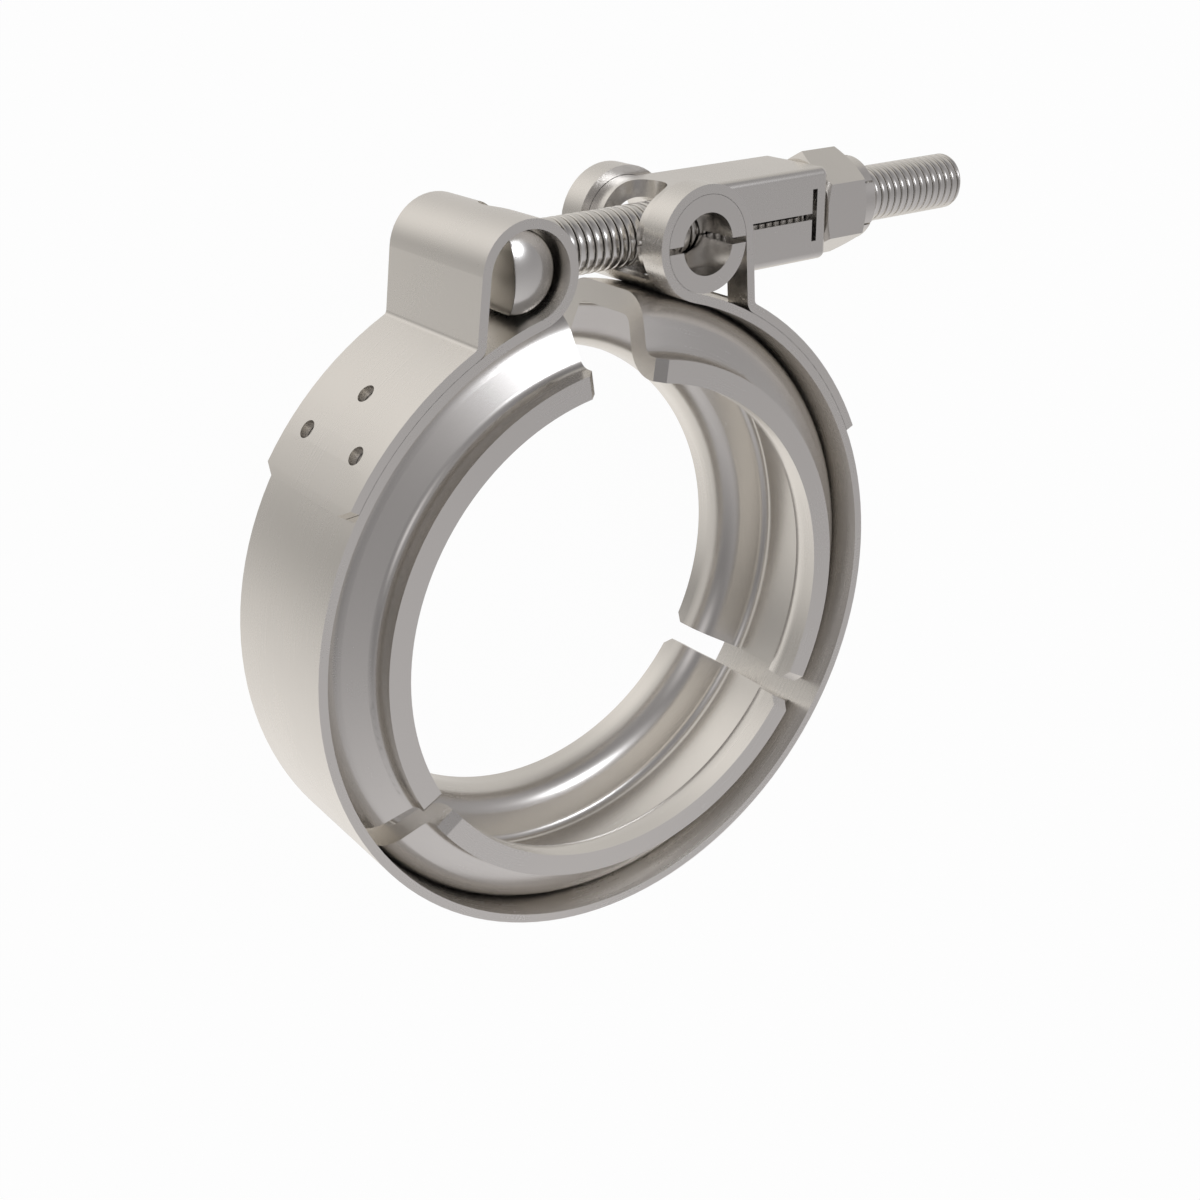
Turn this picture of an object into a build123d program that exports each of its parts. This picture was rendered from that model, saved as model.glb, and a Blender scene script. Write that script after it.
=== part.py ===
from math import asin, atan2, cos, degrees, radians, sin, tan
import os

from build123d import *

# A clamp of the V-band kind for a charge air pipe joint, in millimetres.
# The pipe axis is Z, the bolt lies along X on the +Y side, and the origin is
# on the pipe axis at the middle of the clamp's width.

# Outer band: one strip whose two ends are looped back and spot welded
band_thickness = 1.25
band_width = 22.35
ring_inner_radius = 44.25
lap_gap = 0.04
foot_bend_radius = 0.8
weld_mark_diameter = 2.55
weld_mark_spread = 6.4
weld_row_angles = (18.05, 9.0)
tail_corner_length = 1.3
tail_corner_width = 2.25

# The two loops, each with its straight wall and welded tail
head_loop_x = -12.38
head_clearance = 0.409
head_wall_angle = 7.9
head_tail_angle = 148.0
trunnion_wall_angle = 3.05
trunnion_tail_angle = 22.9

# Retainer segments pressed from strip, each between its first and last angle
retainer_thickness = 3.1
retainer_height = 10.35
retainer_leg_angle = 20.0
retainer_bend_radius = 1.6
groove_half_width = 5.39
lip_half_width = 13.4
lip_corner_chamfer = 1.25
right_angles = (-30.45, 81.15)
left_angles = (96.95, 207.9)
bottom_angles = (213.35, 324.55)

# Bolt with a cross-bar head
bolt_radius = 4.0
bolt_end_x = 70.5
bolt_tip_chamfer = 0.9
head_offset = -0.12
head_radius = 5.3
head_inset = 0.975
head_dome_radius = 9.0
head_flat_depth = 3.8

# Slot for the bolt, in the head loop between two angles about its centre
bolt_slot_clearance = 0.6
bolt_slot_top_angle = 45.0
bolt_slot_bottom_angle = -3.0

# Trunnion and sleeve, folded together from one sheet
sleeve_wall = 2.296
sleeve_side_wall = 2.2
sleeve_length = 25.361
trunnion_clearance = 0.05
trunnion_bore_clearance = 0.07
sleeve_bore_clearance = 0.3
sleeve_edge_radius = 1.1
end_plate_thickness = 2.18
seam_gap = 0.84
seam_drop = 0.15
relief_slot_width = 0.84
relief_slot_height = 7.14
window_clearance = 0.16
window_reach = 0.86

# Slot for the sleeve in the trunnion loop
sleeve_slot_clearance = 0.5
sleeve_slot_depth = 1.0
slot_corner_radius = 0.5

# All-metal lock nut with a collar split into six fingers
nut_across_flats = 13.0
nut_hex_length = 7.29
nut_face_chamfer = 0.54
nut_collar_length = 3.31
nut_collar_wall = 1.9
nut_collar_chamfer = 1.0
nut_slot_width = 0.3
nut_slot_length = 2.85
nut_seat_gap = 0.05
thread_clearance = 0.05

# How near its expected place an edge has to lie to be picked for a fillet
pick_tolerance = 0.01

# Places and sizes that follow from the ones above
ring_outer_radius = ring_inner_radius + band_thickness
tail_inner_radius = ring_outer_radius + lap_gap
tail_middle_radius = tail_inner_radius + band_thickness / 2
tail_outer_radius = tail_inner_radius + band_thickness
lip_inner_radius = ring_inner_radius - retainer_height
trunnion_bore_radius = bolt_radius + trunnion_bore_clearance
trunnion_radius = trunnion_bore_radius + sleeve_wall
head_loop_radius = head_radius + head_clearance + band_thickness
trunnion_loop_radius = trunnion_radius + trunnion_clearance + band_thickness
bolt_height = ((ring_inner_radius + head_loop_radius) ** 2 - head_loop_x**2) ** 0.5
trunnion_x = ((ring_inner_radius + trunnion_loop_radius) ** 2 - bolt_height**2) ** 0.5
sleeve_bore_radius = bolt_radius + sleeve_bore_clearance
sleeve_half_width = sleeve_bore_radius + sleeve_side_wall
sleeve_end_x = trunnion_x + sleeve_length
nut_start_x = sleeve_end_x + nut_seat_gap
nut_shoulder_x = nut_start_x + nut_hex_length
nut_end_x = nut_shoulder_x + nut_collar_length
nut_collar_radius = bolt_radius + thread_clearance + nut_collar_wall
head_x = head_loop_x + head_offset
head_half_length = band_width / 2 - head_inset

axis_point = Vector(0, 0)
head_center = Vector(head_loop_x, bolt_height)
trunnion_center = Vector(trunnion_x, bolt_height)


def polar(radius, angle):
    return Vector(radius * cos(radians(angle)), radius * sin(radians(angle)))


def arc(center, radius, first, last):
    """Arc about center from the first angle to the last, in degrees."""
    angles = (first, (first + last) / 2, last)
    return ThreePointArc(*[center + polar(radius, angle) for angle in angles])


def sector(center, inner, outer, first, last, half_width):
    """Slice of a ring whose axis is along Z, as thick as two half widths."""
    outline = [
        arc(center, outer, first, last),
        Line(center + polar(outer, last), center + polar(inner, last)),
        arc(center, inner, last, first),
        Line(center + polar(inner, first), center + polar(outer, first)),
    ]
    return extrude(make_face(outline), half_width, both=True)


def along_bolt(start_x, end_x, radius):
    """Round bar on the bolt's axis."""
    plane = Plane(origin=(start_x, bolt_height, 0), z_dir=(1, 0, 0))
    return extrude(plane * Circle(radius), end_x - start_x)


def turned_on_bolt(points):
    """Solid turned about the bolt's axis from (x, radius) points."""
    outline = Polyline(*[(x, bolt_height + radius) for x, radius in points], close=True)
    return revolve(make_face(outline), Axis((0, bolt_height, 0), (1, 0, 0)))


def block(x_span, y_span, half_width):
    """Block between two x and two y values, centred on the mid-plane."""
    size_x = x_span[1] - x_span[0]
    size_y = y_span[1] - y_span[0]
    middle = (sum(x_span) / 2, sum(y_span) / 2, 0)
    return Pos(*middle) * Box(size_x, size_y, 2 * half_width)


def looped_end(center, loop_radius, lean, tail_end):
    """Middle line of one end of the strip, from the ring round the loop,
    down the wall and out along the ring as the welded tail."""
    side = 1 if center.X > 0 else -1
    middle = loop_radius - band_thickness / 2
    bend = foot_bend_radius + band_thickness / 2
    outward = Vector(side * cos(radians(lean)), sin(radians(lean)))
    down = Vector(side * sin(radians(lean)), -cos(radians(lean)))
    touch_angle = degrees(atan2(center.Y, center.X)) + 180
    wall_angle = lean if side > 0 else 540 - lean
    wall_top = center + outward * middle
    bend_top = wall_top + outward * bend
    reach = (tail_middle_radius + bend) ** 2 - bend_top.dot(bend_top)
    slide = -bend_top.dot(down) - (bend_top.dot(down) ** 2 + reach) ** 0.5
    bend_center = bend_top + down * slide
    inward = bend_center.normalized() * -1
    wall_foot = bend_center - outward * bend
    tail_start = bend_center + inward * bend
    bend_middle = bend_center + (inward - outward).normalized() * bend
    tail_angle = degrees(atan2(tail_start.Y, tail_start.X))
    return [
        arc(center, middle, touch_angle, wall_angle),
        Line(wall_top, wall_foot),
        ThreePointArc(wall_foot, bend_middle, tail_start),
        arc(axis_point, tail_middle_radius, tail_angle, tail_end),
    ], wall_foot


def tail_corners(side, tail_end):
    """What is cut off both corners of a welded tail's end."""
    origin = polar(ring_outer_radius + lap_gap / 4, tail_end)
    along = polar(1, tail_end + side * 90)
    plane = Plane(origin=origin, x_dir=along, z_dir=polar(1, tail_end))
    edge = band_width / 2
    corners = []
    for turn in (-1, 1):
        outline = Polyline(
            (-tail_corner_length, turn * edge), (0, turn * (edge - tail_corner_width)),
            (band_thickness, turn * (edge - tail_corner_width)), (band_thickness, turn * band_width),
            (-tail_corner_length, turn * band_width), close=True)
        corners.append(extrude(plane * make_face(outline), 2 * band_thickness))
    return corners


def weld_marks(side, tail_end):
    """Round marks through the welded tail: one, then a pair."""
    marks = []
    for inset, offsets in zip(weld_row_angles, ((0,), (-weld_mark_spread, weld_mark_spread))):
        for offset in offsets:
            angle = tail_end - side * inset
            point = polar(ring_outer_radius, angle)
            plane = Plane(origin=(point.X, point.Y, offset), z_dir=polar(1, angle))
            marks.append(extrude(plane * Circle(weld_mark_diameter / 2), 2 * band_thickness))
    return marks


def bolt_slot():
    """Opening in the head loop that the bolt stands out of."""
    half_width = bolt_radius + bolt_slot_clearance
    reach = head_loop_radius + band_thickness
    inner = head_loop_radius - 2 * band_thickness
    opening = sector(head_center, inner, reach, bolt_slot_bottom_angle, bolt_slot_top_angle, half_width)
    for angle in (bolt_slot_bottom_angle, bolt_slot_top_angle):
        start = head_center + polar(inner / 2, angle)
        plane = Plane(origin=start, z_dir=polar(1, angle))
        opening += extrude(plane * Circle(half_width), reach - inner / 2)
    return opening


def sleeve_slot(wall_foot):
    """Opening in the trunnion loop that the sleeve turns and passes in,
    down into the bend at the wall's foot but clear of the ring."""
    half_width = sleeve_half_width + sleeve_slot_clearance
    reach = trunnion_loop_radius + band_thickness
    low_left = -bolt_radius - bolt_slot_clearance
    low_right = wall_foot.Y - bolt_height - sleeve_slot_depth
    top = reach + band_thickness
    opening = block((trunnion_x - reach, trunnion_x + reach), (bolt_height, bolt_height + top), half_width)
    for side, low in ((-1, low_left), (1, low_right)):
        plane = Plane(origin=(trunnion_x, bolt_height, 0), x_dir=(0, 0, -1), z_dir=(1, 0, 0))
        height = band_thickness - low
        outline = Pos(0, low + height / 2) * RectangleRounded(2 * half_width, height, slot_corner_radius)
        window = extrude(plane * outline, side * reach)
        near = extrude(plane * Rectangle(3 * half_width, 3 * reach), side * trunnion_bore_radius)
        opening += window - near
    return opening - Cylinder(tail_inner_radius, band_width)


def make_outer_band():
    """The ring, both loops and both welded tails, bent from one strip."""
    head_line, _ = looped_end(
        head_center, head_loop_radius, head_wall_angle, head_tail_angle)
    trunnion_line, wall_foot = looped_end(
        trunnion_center, trunnion_loop_radius, trunnion_wall_angle, trunnion_tail_angle)
    first = degrees(atan2(head_center.Y, head_center.X))
    last = degrees(atan2(trunnion_center.Y, trunnion_center.X)) + 360
    ring_line = arc(axis_point, ring_inner_radius + band_thickness / 2, first, last)
    middle_line = head_line + [ring_line] + trunnion_line
    band = extrude(trace(middle_line, band_thickness), band_width / 2, both=True)
    for side, tail_end in ((1, head_tail_angle), (-1, trunnion_tail_angle)):
        for cutter in tail_corners(side, tail_end) + weld_marks(side, tail_end):
            band -= cutter
    return band - bolt_slot() - sleeve_slot(wall_foot)


def retainer_section():
    """Closed section of the pressed strip: a crown, two legs and two lips."""
    slope = tan(radians(retainer_leg_angle))
    crown_inner = ring_inner_radius - retainer_thickness
    lip_outer_radius = lip_inner_radius + retainer_thickness
    leg_width = retainer_thickness / cos(radians(retainer_leg_angle))

    def inner_leg(radius):
        return groove_half_width + (crown_inner - radius) * slope

    def outer_leg(radius):
        return inner_leg(radius) + leg_width

    outer_bend = retainer_bend_radius + retainer_thickness
    corners = [
        (ring_inner_radius, outer_leg(ring_inner_radius), outer_bend),
        (lip_outer_radius, outer_leg(lip_outer_radius), retainer_bend_radius),
        (lip_outer_radius, lip_half_width, 0),
        (lip_inner_radius, lip_half_width, 0),
        (lip_inner_radius, inner_leg(lip_inner_radius), outer_bend),
        (crown_inner, inner_leg(crown_inner), retainer_bend_radius),
    ]
    corners += [(radius, -z, bend) for radius, z, bend in reversed(corners)]
    outline = FilletPolyline(
        *[(radius, z) for radius, z, _ in corners],
        radius=[bend for _, _, bend in corners],
        close=True,
    )
    return Plane.XZ * make_face(outline)


def make_retainer(angles):
    """One segment, with the corners of its lips cut off at both ends."""
    first, last = angles
    segment = Rot(0, 0, first) * revolve(retainer_section(), Axis.Z, last - first)
    lip_corners = [
        edge for edge in segment.edges().filter_by(GeomType.LINE)
        if abs(abs(edge.center().Z) - lip_half_width) < pick_tolerance
    ]
    return chamfer(lip_corners, lip_corner_chamfer)


def make_t_bolt():
    """Threaded rod forged with a cross bar that is domed and flat backed."""
    dome_center = Vector(0, head_half_length - head_dome_radius)
    dome_angle = 90 - degrees(asin(head_radius / head_dome_radius))
    shoulder = (dome_center + polar(head_dome_radius, dome_angle)).Y
    profile = [
        arc(dome_center, head_dome_radius, 90, dome_angle),
        Line((head_radius, shoulder), (head_radius, 0)),
        Line((head_radius, 0), (0, 0)),
        Line((0, 0), (0, head_half_length)),
    ]
    half_bar = revolve(Plane.XZ * make_face(profile), Axis.Z)
    bar = half_bar + mirror(half_bar, about=Plane.XY)
    bar = Pos(head_x, bolt_height, 0) * bar
    flat_x = head_x - head_radius + head_flat_depth
    cut_reach = 2 * head_radius
    bar -= block((flat_x - cut_reach, flat_x), (bolt_height - cut_reach, bolt_height + cut_reach),
                 head_half_length)
    shank = turned_on_bolt([
        (head_x, 0), (head_x, bolt_radius),
        (bolt_end_x - bolt_tip_chamfer, bolt_radius),
        (bolt_end_x, bolt_radius - bolt_tip_chamfer), (bolt_end_x, 0),
    ])
    return bar + shank


def make_trunnion_sleeve():
    """Two half rings and two channels that meet at one end plate."""
    far = 2 * band_width
    ring = Pos(trunnion_x, bolt_height, 0) * Cylinder(trunnion_radius, band_width)
    box = block((trunnion_x, sleeve_end_x),
                (bolt_height - trunnion_radius, bolt_height + trunnion_radius), sleeve_half_width)
    rounded = [
        edge for edge in box.edges()
        if edge.center().X > trunnion_x + pick_tolerance
    ]
    box = fillet(rounded, sleeve_edge_radius)
    body = ring + box
    body -= Pos(trunnion_x, bolt_height, 0) * Cylinder(trunnion_bore_radius, far)
    body -= along_bolt(trunnion_x, sleeve_end_x + sleeve_wall, sleeve_bore_radius)

    window_radius = bolt_radius + window_clearance
    window_end = trunnion_x + window_reach - window_radius
    window = block((trunnion_x - 2 * trunnion_radius, window_end), (0, far + bolt_height), window_radius)
    round_end = Plane(origin=(window_end, 0, 0), z_dir=(0, 1, 0)) * Circle(window_radius)
    body -= window + extrude(round_end, far + bolt_height)

    relief_end = sleeve_end_x - end_plate_thickness
    relief_start = relief_end - relief_slot_width
    seam_height = bolt_height - seam_drop
    seam_y = (seam_height - seam_gap / 2, seam_height + seam_gap / 2)
    relief_y = (bolt_height - relief_slot_height / 2, bolt_height + relief_slot_height / 2)
    body -= block((trunnion_x - far, relief_end), seam_y, far)
    body -= block((relief_start, relief_end), relief_y, far)
    return body


def make_lock_nut():
    """Hexagon and a bevelled collar slotted in line with the six corners."""
    flat_radius = nut_across_flats / 2
    corner_radius = flat_radius / cos(radians(30))
    start = Plane(origin=(nut_start_x, bolt_height, 0), x_dir=(0, 1, 0), z_dir=(1, 0, 0))
    hexagon = extrude(start * RegularPolygon(corner_radius, 6), nut_hex_length)
    hexagon &= turned_on_bolt([
        (nut_start_x, 0), (nut_start_x, flat_radius),
        (nut_start_x + nut_face_chamfer, corner_radius),
        (nut_shoulder_x - nut_face_chamfer, corner_radius),
        (nut_shoulder_x, flat_radius), (nut_shoulder_x, 0),
    ])
    collar = turned_on_bolt([
        (nut_start_x, 0), (nut_start_x, nut_collar_radius),
        (nut_end_x - nut_collar_chamfer, nut_collar_radius),
        (nut_end_x, nut_collar_radius - nut_collar_chamfer), (nut_end_x, 0),
    ])
    nut = hexagon + collar
    for turn in (0, 60, 120):
        slot = Box(2 * nut_slot_length, 4 * nut_collar_radius, nut_slot_width)
        nut -= Pos(nut_end_x, bolt_height, 0) * Rot(turn, 0, 0) * slot
    hole = along_bolt(nut_start_x - nut_seat_gap, nut_end_x + nut_seat_gap, bolt_radius + thread_clearance)
    return nut - hole


def build_parts():
    return {
        "outer_band": make_outer_band(),
        "retainer_right": make_retainer(right_angles),
        "retainer_left": make_retainer(left_angles),
        "retainer_bottom": make_retainer(bottom_angles),
        "t_bolt": make_t_bolt(),
        "trunnion_sleeve": make_trunnion_sleeve(),
        "lock_nut": make_lock_nut(),
    }


os.makedirs("parts", exist_ok=True)
for node, shape in build_parts().items():
    export_step(shape, f"parts/{node}.step")
    print(node, "solids", len(shape.solids()), "volume", round(shape.volume, 1))
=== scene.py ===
import math

import bmesh
import bpy
from mathutils import Matrix, Vector


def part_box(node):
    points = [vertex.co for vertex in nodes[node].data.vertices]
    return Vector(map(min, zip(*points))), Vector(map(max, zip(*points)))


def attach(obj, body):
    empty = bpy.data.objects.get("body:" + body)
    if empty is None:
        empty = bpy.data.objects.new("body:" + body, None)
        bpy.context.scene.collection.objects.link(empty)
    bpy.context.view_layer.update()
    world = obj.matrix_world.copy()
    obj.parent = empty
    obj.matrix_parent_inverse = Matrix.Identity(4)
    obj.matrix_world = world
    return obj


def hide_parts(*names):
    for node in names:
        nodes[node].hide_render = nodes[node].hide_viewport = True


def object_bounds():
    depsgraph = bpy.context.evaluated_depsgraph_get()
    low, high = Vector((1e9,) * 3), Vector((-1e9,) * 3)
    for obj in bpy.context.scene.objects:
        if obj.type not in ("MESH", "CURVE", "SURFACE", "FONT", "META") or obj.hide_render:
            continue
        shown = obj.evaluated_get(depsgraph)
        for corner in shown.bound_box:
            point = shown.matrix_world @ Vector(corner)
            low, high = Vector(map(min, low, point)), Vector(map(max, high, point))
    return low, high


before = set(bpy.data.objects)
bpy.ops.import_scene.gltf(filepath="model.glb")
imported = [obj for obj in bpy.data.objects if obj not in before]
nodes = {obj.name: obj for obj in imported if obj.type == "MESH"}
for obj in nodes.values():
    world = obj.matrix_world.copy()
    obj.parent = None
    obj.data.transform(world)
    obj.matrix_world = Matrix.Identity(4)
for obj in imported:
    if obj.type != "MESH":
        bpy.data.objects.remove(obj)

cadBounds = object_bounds()
mm = 0.001


# Shader maths: a wire is one output socket, and sums on wires add Math nodes
class Wire:
    def __init__(self, finish, socket):
        self.finish = finish
        self.socket = socket

    def math(self, operation, other, reflected=False):
        first, second = (other, self) if reflected else (self, other)
        return self.finish.node("ShaderNodeMath", {"operation": operation}, {0: first, 1: second})

    def __add__(self, other):
        return self.math("ADD", other)

    def __sub__(self, other):
        return self.math("SUBTRACT", other)

    def __rsub__(self, other):
        return self.math("SUBTRACT", other, reflected=True)

    def __mul__(self, other):
        return self.math("MULTIPLY", other)

    def __truediv__(self, other):
        return self.math("DIVIDE", other)

    def __pow__(self, other):
        return self.math("POWER", other)

    __radd__ = __add__
    __rmul__ = __mul__

    def atLeast(self, floor):
        return self.math("MAXIMUM", floor)

    def zeroToOne(self):
        return self.atLeast(0.0).math("MINIMUM", 1.0)


# One material or world under construction
class Finish:
    def __init__(self, owner):
        owner.use_nodes = True
        self.tree = owner.node_tree
        self.tree.nodes.clear()

    # A socket in use, by its name or by its place among them
    def pick(self, sockets, key):
        inUse = [socket for socket in sockets if socket.enabled]
        if isinstance(key, int):
            return inUse[key]
        return next(socket for socket in inUse if socket.name == key)

    def node(self, kind, settings, sockets, output=0):
        made = self.tree.nodes.new(kind)
        for name, value in settings.items():
            if name == "stops":
                self.setStops(made.color_ramp, value)
            else:
                setattr(made, name, value)
        for key, value in sockets.items():
            socket = self.pick(made.inputs, key)
            if isinstance(value, Wire):
                self.tree.links.new(value.socket, socket)
            else:
                socket.default_value = value
        return Wire(self, self.pick(made.outputs, output)) if made.outputs else None

    def setStops(self, ramp, stops):
        while len(ramp.elements) < len(stops):
            ramp.elements.new(1.0)
        for element, (place, grey) in zip(ramp.elements, stops):
            element.position = place
            element.color = (grey, grey, grey, 1.0)

    def ramp(self, value, *stops):
        return self.node("ShaderNodeValToRGB", {"stops": stops}, {0: value})

    def blend(self, share, first, second):
        sockets = {"Factor": share, "A": first, "B": second}
        return self.node("ShaderNodeMix", {"data_type": "RGBA"}, sockets)

    def vector(self, operation, first, second):
        return self.node("ShaderNodeVectorMath", {"operation": operation}, {0: first, 1: second})

    def stretch(self, vector, scale):
        return self.node("ShaderNodeVectorMath", {"operation": "SCALE"}, {0: vector, 1: scale})

    def noise(self, place, scale, detail, **more):
        settings = {"noise_dimensions": "4D"} if "W" in more else {}
        sockets = {"Vector": place, "Scale": scale, "Detail": detail, **more}
        return self.node("ShaderNodeTexNoise", settings, sockets)


print("camera")
cameraView = {
    "place": (-119.75, 96.715, 174.75),
    "right": (0.809854, -0.016257, 0.586406),
    "up": (0.257051, 0.908376, -0.329816),
    "back": (-0.527315, 0.417839, 0.739831),
    "lens": 49.236,
    "sensor": 36.0,
    "nearest": 0.01,  # metres
}


def makeCamera(values):
    camera = bpy.data.objects.new("camera", bpy.data.cameras.new("camera"))
    bpy.context.scene.collection.objects.link(camera)
    turn = Matrix([values["right"], values["up"], values["back"]]).transposed()
    camera.matrix_world = Matrix.Translation(Vector(values["place"]) * mm) @ turn.to_4x4()
    camera.data.lens = values["lens"]
    camera.data.sensor_width = values["sensor"]
    camera.data.clip_start = values["nearest"]
    bpy.context.scene.camera = camera


makeCamera(cameraView)

print("floor and light")
white = (1.0, 1.0, 1.0, 1.0)
studio = {
    "floorRadius": 3.0,
    "floorColor": (0.9, 0.9, 0.9, 1.0),
    "floorGlow": 0.97,  # share of plain white that the camera sees
    "skyLevel": 0.33,
    "horizonLevel": 0.19,  # added to the sky, less and less with height
    "horizonFall": 2.0,  # how fast it gets less
    "belowLevel": 0.66,  # pale ground that the metal reflects
    "groundTop": 0.03,  # height where the ground begins, as a share of the sky's radius
    "groundFade": 0.15,  # height over which it comes in
    "skyTint": (0.925, 0.905, 0.925, 1.0),
    "belowTint": (0.952, 0.922, 0.888, 1.0),
    # walls of the studio: where each stands, how sharply it ends, its light over or under the rest
    "walls": (
        ((0.15, -0.84, 0.52), 3.0, 0.33),
        ((0.05, -0.60, -0.80), 4.0, 0.32),
        ((-0.31, 0.62, -0.71), 9.0, 0.31),
        ((-0.65, 0.14, -0.75), 24.0, -0.42),
        ((-0.81, 0.17, 0.56), 3.0, -0.15),
        ((0.25, 0.95, 0.0), 9.0, -0.30),
        ((-0.64, 0.37, 0.67), 40.0, 0.8),
        ((0.32, 0.45, 0.83), 26.0, 0.65),  # soft fringe round the lamp
    ),
    "lampPlace": (0.34, 0.46, 0.82),
    "lampLength": 0.36,
    "lampWidth": 0.32,
    "lampAlong": (0.87, -0.48, -0.14),
    "lampColor": (0.89, 0.93, 1.0),
    "lampPower": 0.88,
}


# Camera rays see a white floor with the object's shadow; metal sees the pale ground below it
def makeFloor(values):
    mesh = bpy.data.meshes.new("floor")
    r = values["floorRadius"]
    z = cadBounds[0].z
    mesh.from_pydata([(-r, -r, z), (r, -r, z), (r, r, z), (-r, r, z)], [], [(0, 1, 2, 3)])
    floor = bpy.data.objects.new("floor", mesh)
    bpy.context.scene.collection.objects.link(floor)
    material = bpy.data.materials.new("floorPaint")
    f = Finish(material)
    camera, glossy, transmission, shadow = [
        f.node("ShaderNodeLightPath", {}, {}, f"Is {kind} Ray")
        for kind in ("Camera", "Glossy", "Transmission", "Shadow")]
    paint = f.node("ShaderNodeBsdfDiffuse", {}, {"Color": values["floorColor"]})
    glow = f.node("ShaderNodeEmission", {}, {"Color": white, "Strength": 1.0})
    clear = f.node("ShaderNodeBsdfTransparent", {}, {"Color": white})
    seen = f.node("ShaderNodeMixShader", {}, {0: camera * values["floorGlow"], 1: paint, 2: glow})
    passing = glossy + transmission + shadow
    both = f.node("ShaderNodeMixShader", {}, {0: passing, 1: seen, 2: clear})
    f.node("ShaderNodeOutputMaterial", {}, {"Surface": both})
    mesh.materials.append(material)


makeFloor(studio)


def makeSky(values):
    world = bpy.data.worlds.new("studio")
    bpy.context.scene.world = world
    f = Finish(world)
    place = f.node("ShaderNodeTexCoord", {}, {}, "Generated")
    height = f.node("ShaderNodeSeparateXYZ", {}, {0: place}, "Z")
    ground = ((values["groundTop"] - height) / values["groundFade"]).zeroToOne()
    horizon = (1.0 - height.atLeast(0.0)) ** values["horizonFall"] * values["horizonLevel"]
    grey = values["skyLevel"] + horizon
    grey = grey + ground * (values["belowLevel"] - values["skyLevel"] - values["horizonLevel"])
    for side, sharpness, level in values["walls"]:
        wall = f.vector("DOT_PRODUCT", place, tuple(Vector(side).normalized()))
        grey = grey + wall.atLeast(0.0) ** sharpness * level
    tint = f.blend(ground, values["skyTint"], values["belowTint"])
    light = f.node("ShaderNodeBackground", {}, {"Color": tint, "Strength": grey})
    plain = f.node("ShaderNodeBackground", {}, {"Color": white, "Strength": 1.0})
    camera = f.node("ShaderNodeLightPath", {}, {}, "Is Camera Ray")  # behind the floor's far edge
    both = f.node("ShaderNodeMixShader", {}, {0: camera, 1: light, 2: plain})
    f.node("ShaderNodeOutputWorld", {}, {"Surface": both})


makeSky(studio)


def makeLamp(values):
    light = bpy.data.lights.new("softLamp", "AREA")
    light.shape = "ELLIPSE"
    light.size, light.size_y = values["lampLength"], values["lampWidth"]
    light.color = values["lampColor"]
    light.energy = values["lampPower"]
    lamp = bpy.data.objects.new("softLamp", light)
    bpy.context.scene.collection.objects.link(lamp)
    back = Vector(values["lampPlace"]).normalized()
    along = Vector(values["lampAlong"])
    along = (along - back * along.dot(back)).normalized()
    turn = Matrix([along, back.cross(along), back]).transposed()
    lamp.matrix_world = Matrix.Translation(values["lampPlace"]) @ turn.to_4x4()


makeLamp(studio)


# Meshes are worked out in millimetres and put into the frame in metres
def pieceFrom(name, mesh, creaseAngle):
    for vertex in mesh.verts:
        vertex.co *= mm
    for face in mesh.faces:
        face.smooth = True
    data = bpy.data.meshes.new(name)
    mesh.to_mesh(data)
    mesh.free()
    data.set_sharp_from_angle(angle=math.radians(creaseAngle))
    piece = bpy.data.objects.new(name, data)
    bpy.context.scene.collection.objects.link(piece)
    return piece


print("bolt")
bolt = {
    "pitch": 1.308,
    "shankRadius": 4.0,
    "threadDepth": 0.64,
    "threadStart": -8.38,  # just inside the head
    "runOut": 1.6,
    "stepsPerTurn": 64,
    "tipChamfer": 0.9,
    "barOffset": 1.5,  # from the flat back of the head to the middle of its bar
    "domeRadius": 9.0,
    "domeRings": 12,
    "edgeRadius": 0.4,
    "edgeRings": 4,
    "backEdge": 0.1,
    "backEdgeRings": 3,
    "backEdgeRound": 0.5,
    "headSteps": 96,
    "weldGap": 1e-4,  # points nearer than this are one
    "creaseAngle": 32.0,
    # thread section: share of the pitch, share of the depth below the crest
    "section": (
        (0.0, 1.0), (0.06, 0.95), (0.10, 0.30), (0.135, 0.13), (0.19, 0.05), (0.31, 0.01),
        (0.5, 0.0), (0.69, 0.01), (0.81, 0.05), (0.865, 0.13), (0.90, 0.30), (0.94, 0.95)),
}


def makeThread(values, height, endX):
    mesh = bmesh.new()
    steps, pitch, crest = values["stepsPerTurn"], values["pitch"], values["shankRadius"]
    startX, section = values["threadStart"], values["section"]
    turns = math.ceil((endX - startX) / pitch) + 2
    rows = []  # one short row of the thread's section at every step along the helix
    for step in range(turns * steps + 1):
        angle = 2 * math.pi * step / steps
        row = []
        for share, depth in section:
            x = min(max(startX + pitch * (step / steps + share - 1), startX), endX)
            cut = values["threadDepth"] * depth * min((x - startX) / values["runOut"], 1.0)
            r = min(crest - cut, crest - values["tipChamfer"] + endX - x)
            row.append(mesh.verts.new((x, height + r * math.cos(angle), r * math.sin(angle))))
        rows.append(row)
    for step in range(len(rows) - 1 - steps):
        row = rows[step] + rows[step + steps][:1]
        after = rows[step + 1] + rows[step + steps + 1][:1]
        for k in range(len(section)):
            mesh.faces.new((row[k], row[k + 1], after[k + 1], after[k]))
    bmesh.ops.remove_doubles(mesh, verts=mesh.verts, dist=values["weldGap"])
    loose = [vertex for vertex in mesh.verts if not vertex.link_faces]
    bmesh.ops.delete(mesh, geom=loose, context="VERTS")
    rims = [edge for edge in mesh.edges if edge.is_boundary]
    bmesh.ops.holes_fill(mesh, edges=rims)
    bmesh.ops.recalc_face_normals(mesh, faces=mesh.faces)
    return mesh


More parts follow.
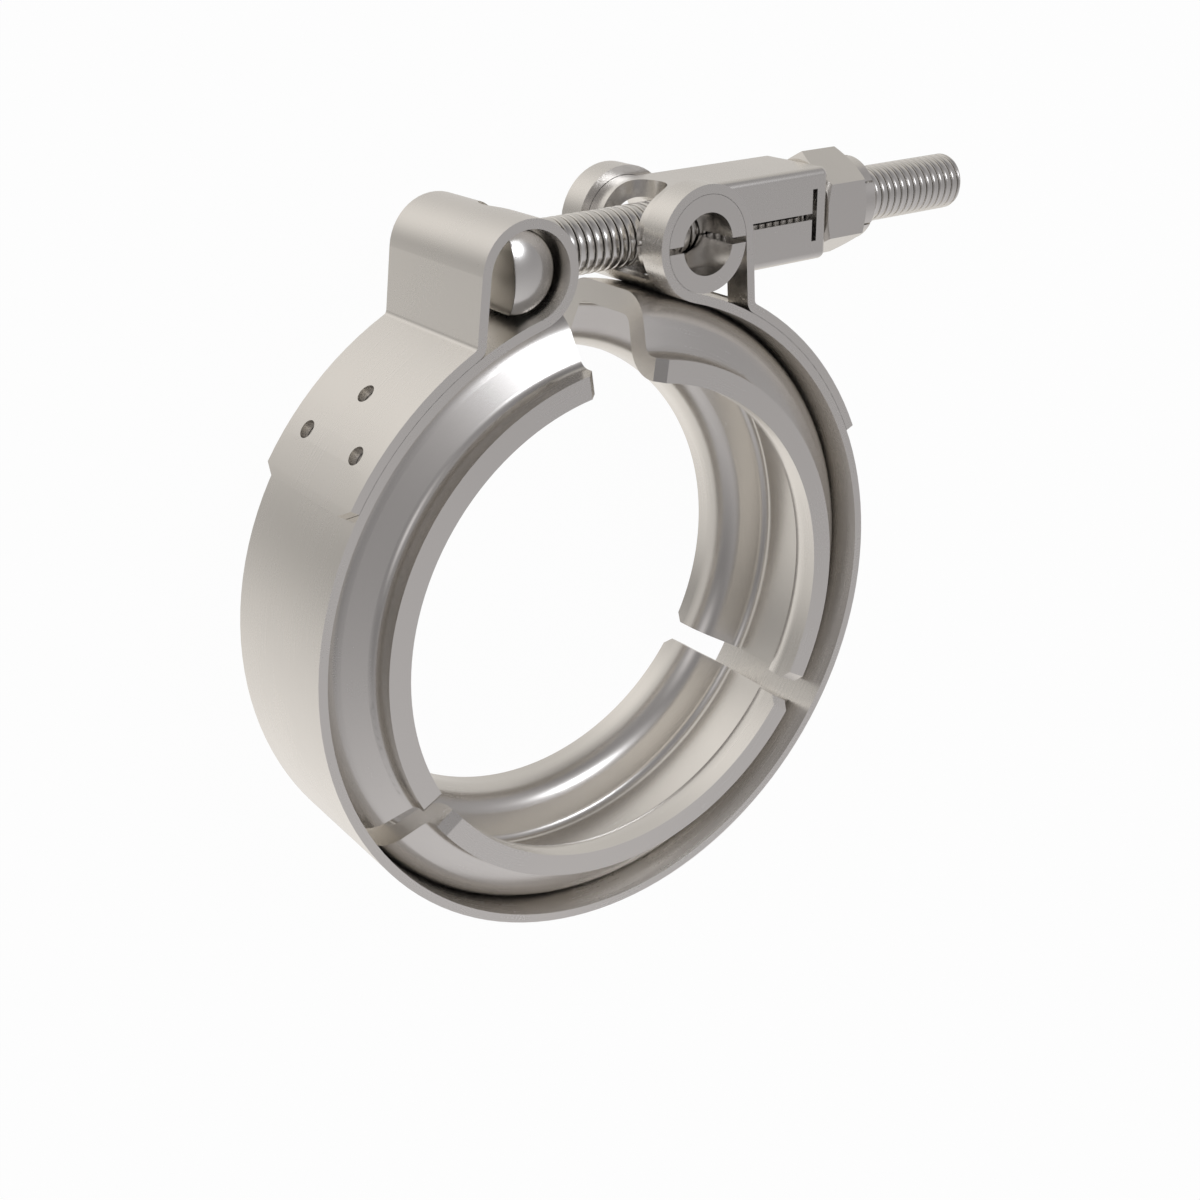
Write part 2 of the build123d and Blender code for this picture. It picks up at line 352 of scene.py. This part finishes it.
# Radius and height of the bar's outline, from one dome to the other
def headOutline(values, radius, half):
    dome = values["domeRadius"]
    last = math.acos((radius - values["edgeRadius"]) / dome)
    points = []
    for k in range(values["domeRings"] + 1):
        angle = math.pi / 2 + (last - math.pi / 2) * k / values["domeRings"]
        points.append((dome * math.cos(angle), half - dome + dome * math.sin(angle)))
    corner = half - dome + dome * math.sin(math.acos(radius / dome))
    start, end = points[-1], (radius, corner - values["edgeRadius"])
    for k in range(1, values["edgeRings"] + 1):
        t = k / values["edgeRings"]
        points.append(tuple((1 - t) ** 2 * a + 2 * t * (1 - t) * b + t * t * c
                            for a, b, c in zip(start, (radius, corner), end)))
    return points + [(r, -z) for r, z in reversed(points)]


# The bar that crosses the loop, turned on its own axis and cut flat behind
def makeHead(values, low, high):
    mesh = bmesh.new()
    radius, height = (high.y - low.y) / 2, (high.y + low.y) / 2
    middleX = low.x + values["barOffset"]
    steps = values["headSteps"]
    rings = []
    for r, z in headOutline(values, radius, high.z):
        ring = []
        for k in range(steps if r > values["weldGap"] else 1):
            angle = 2 * math.pi * k / steps
            ring.append(mesh.verts.new(
                (middleX + r * math.cos(angle), height + r * math.sin(angle), z)))
        rings.append(ring)
    for upper, lower in zip(rings, rings[1:]):
        for k in range(steps):
            corners = [ring[n % len(ring)] for ring, n in
                       ((upper, k), (lower, k), (lower, k + 1), (upper, k + 1))]
            mesh.faces.new(list(dict.fromkeys(corners)))
    everything = mesh.verts[:] + mesh.edges[:] + mesh.faces[:]
    bmesh.ops.bisect_plane(
        mesh, geom=everything, plane_co=low, plane_no=(-1, 0, 0), clear_outer=True)
    rim = [edge for edge in mesh.edges if edge.is_boundary]
    bmesh.ops.contextual_create(mesh, geom=rim)
    bmesh.ops.bevel(
        mesh, geom=rim, offset=values["backEdge"], segments=values["backEdgeRings"],
        profile=values["backEdgeRound"], affect="EDGES")
    bmesh.ops.recalc_face_normals(mesh, faces=mesh.faces)
    return mesh


def makeBolt(values):
    low, high = [Vector(corner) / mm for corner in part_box("t_bolt")]
    height = (low.y + high.y) / 2
    crease = values["creaseAngle"]
    shank = pieceFrom("boltShank", makeThread(values, height, high.x), crease)
    piece = pieceFrom("threadedBolt", makeHead(values, low, high), crease)
    join = piece.modifiers.new("join", "BOOLEAN")
    join.operation = "UNION"
    join.solver = "EXACT"
    join.object = shank
    bpy.context.view_layer.update()
    evaluated = piece.evaluated_get(bpy.context.evaluated_depsgraph_get())
    joined = bpy.data.meshes.new_from_object(evaluated)
    piece.modifiers.clear()
    piece.data = joined
    joined.set_sharp_from_angle(angle=math.radians(crease))
    bpy.data.objects.remove(shank)
    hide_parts("t_bolt")
    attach(piece, "bolt")
    return piece


threadedBolt = makeBolt(bolt)


print("finishes")
boltHeight = sum(corner[1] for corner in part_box("t_bolt")) / 2
ringAxis = ((0, 0, 0), (0, 0, 1))
boltAxis = ((0, boltHeight, 0), (1, 0, 0))
# lengths in metres, and scales in noise cells per metre
bandFinish = {
    "color": (0.785, 0.760, 0.722),
    "cloudColor": (0.775, 0.752, 0.718),
    "roughness": 0.27,
    "cloudScale": 55.0,
    "cloudDetail": 4.0,
    "cloudEdges": ((0.35, 0.0), (0.65, 1.0)),
    "cloudRough": 0.04,
    "grainAlong": 60.0,
    "grainAcross": 2600.0,
    "grainDetail": 3.0,
    "grainRough": 0.05,
    "grainBump": 0.005,
    "speckleScale": 8000.0,
    "speckleDetail": 2.0,
    "speckleRough": 0.05,
    "speckleBump": 0.012,
    "bumpHeight": 0.00002,
}
retainerFinish = {**bandFinish, "roughness": 0.25}
sleeveFinish = {**bandFinish, "roughness": 0.25}
nutFinish = {**bandFinish, "roughness": 0.26}
boltFinish = {
    **bandFinish,
    "color": (0.775, 0.755, 0.722),
    "cloudColor": (0.76, 0.745, 0.715),
    "roughness": 0.20,
    # painted shade: colour for the thread roots, darker than the crests
    "paintedRootShade": (0.10, 0.095, 0.09),
    "rootRough": 0.15,
    "rootRadius": 0.00345,  # wholly painted shade from here inwards
    "crestRadius": 0.00376,  # free of the painted shade from here outwards
    "threadFrom": -0.0078,  # the thread's span along the bolt
    "threadTo": 0.0704,
}


def makeSteel(name, values, axis):
    material = bpy.data.materials.new(name)
    f = Finish(material)
    place = f.node("ShaderNodeTexCoord", {}, {}, "Object")
    center, direction = axis
    arm = f.vector("SUBTRACT", place, center)
    along = f.vector("DOT_PRODUCT", arm, direction)
    alongPart = f.stretch(direction, along)
    across = f.vector("SUBTRACT", arm, alongPart)
    radius = f.node("ShaderNodeVectorMath", {"operation": "LENGTH"}, {0: across})

    # rolled or turned grain: streaks run round the axis, fine across it
    slow = f.stretch(across, values["grainAlong"])
    fast = f.stretch(alongPart, values["grainAcross"])
    grainPlace = f.vector("ADD", slow, fast)
    grain = f.noise(grainPlace, 1.0, values["grainDetail"], W=radius * values["grainAcross"])
    speckle = f.noise(place, values["speckleScale"], values["speckleDetail"])
    cloud = f.noise(place, values["cloudScale"], values["cloudDetail"])
    cloud = f.ramp(cloud, *values["cloudEdges"])

    color = f.blend(cloud, (*values["color"], 1), (*values["cloudColor"], 1))
    rough = values["roughness"] + (grain - 0.5) * values["grainRough"]
    rough = rough + (cloud - 0.5) * values["cloudRough"]
    rough = rough + (speckle - 0.5) * values["speckleRough"]
    if "paintedRootShade" in values:  # thread roots painted dark: painted shade in the grooves
        # mask of the painted shade, full at the roots and fading to none at the crests
        depth = values["crestRadius"] - values["rootRadius"]
        root = ((values["crestRadius"] - radius) / depth).zeroToOne()
        afterHead = along.math("GREATER_THAN", values["threadFrom"])
        beforeTip = along.math("LESS_THAN", values["threadTo"])
        root = root * (afterHead * beforeTip)
        color = f.blend(root, color, (*values["paintedRootShade"], 1))
        rough = rough + root * values["rootRough"]
    relief = grain * values["grainBump"] + speckle * values["speckleBump"]
    bump = f.node("ShaderNodeBump", {}, {
        "Strength": 1.0, "Distance": values["bumpHeight"], "Height": relief})
    shader = f.node("ShaderNodeBsdfPrincipled", {}, {
        "Base Color": color, "Metallic": 1.0, "Roughness": rough, "Normal": bump})
    f.node("ShaderNodeOutputMaterial", {}, {"Surface": shader})
    return material


retainerSteel = makeSteel("retainerSteel", retainerFinish, ringAxis)
finishes = {
    "outer_band": makeSteel("bandSteel", bandFinish, ringAxis),
    "retainer_right": retainerSteel,
    "retainer_left": retainerSteel,
    "retainer_bottom": retainerSteel,
    "trunnion_sleeve": makeSteel("sleeveSteel", sleeveFinish, boltAxis),
    "lock_nut": makeSteel("nutSteel", nutFinish, boltAxis),
}
for name, steel in finishes.items():
    nodes[name].data.materials.clear()
    nodes[name].data.materials.append(steel)
threadedBolt.data.materials.clear()
threadedBolt.data.materials.append(makeSteel("boltSteel", boltFinish, boltAxis))

bpy.context.scene.view_settings.view_transform = "Standard"
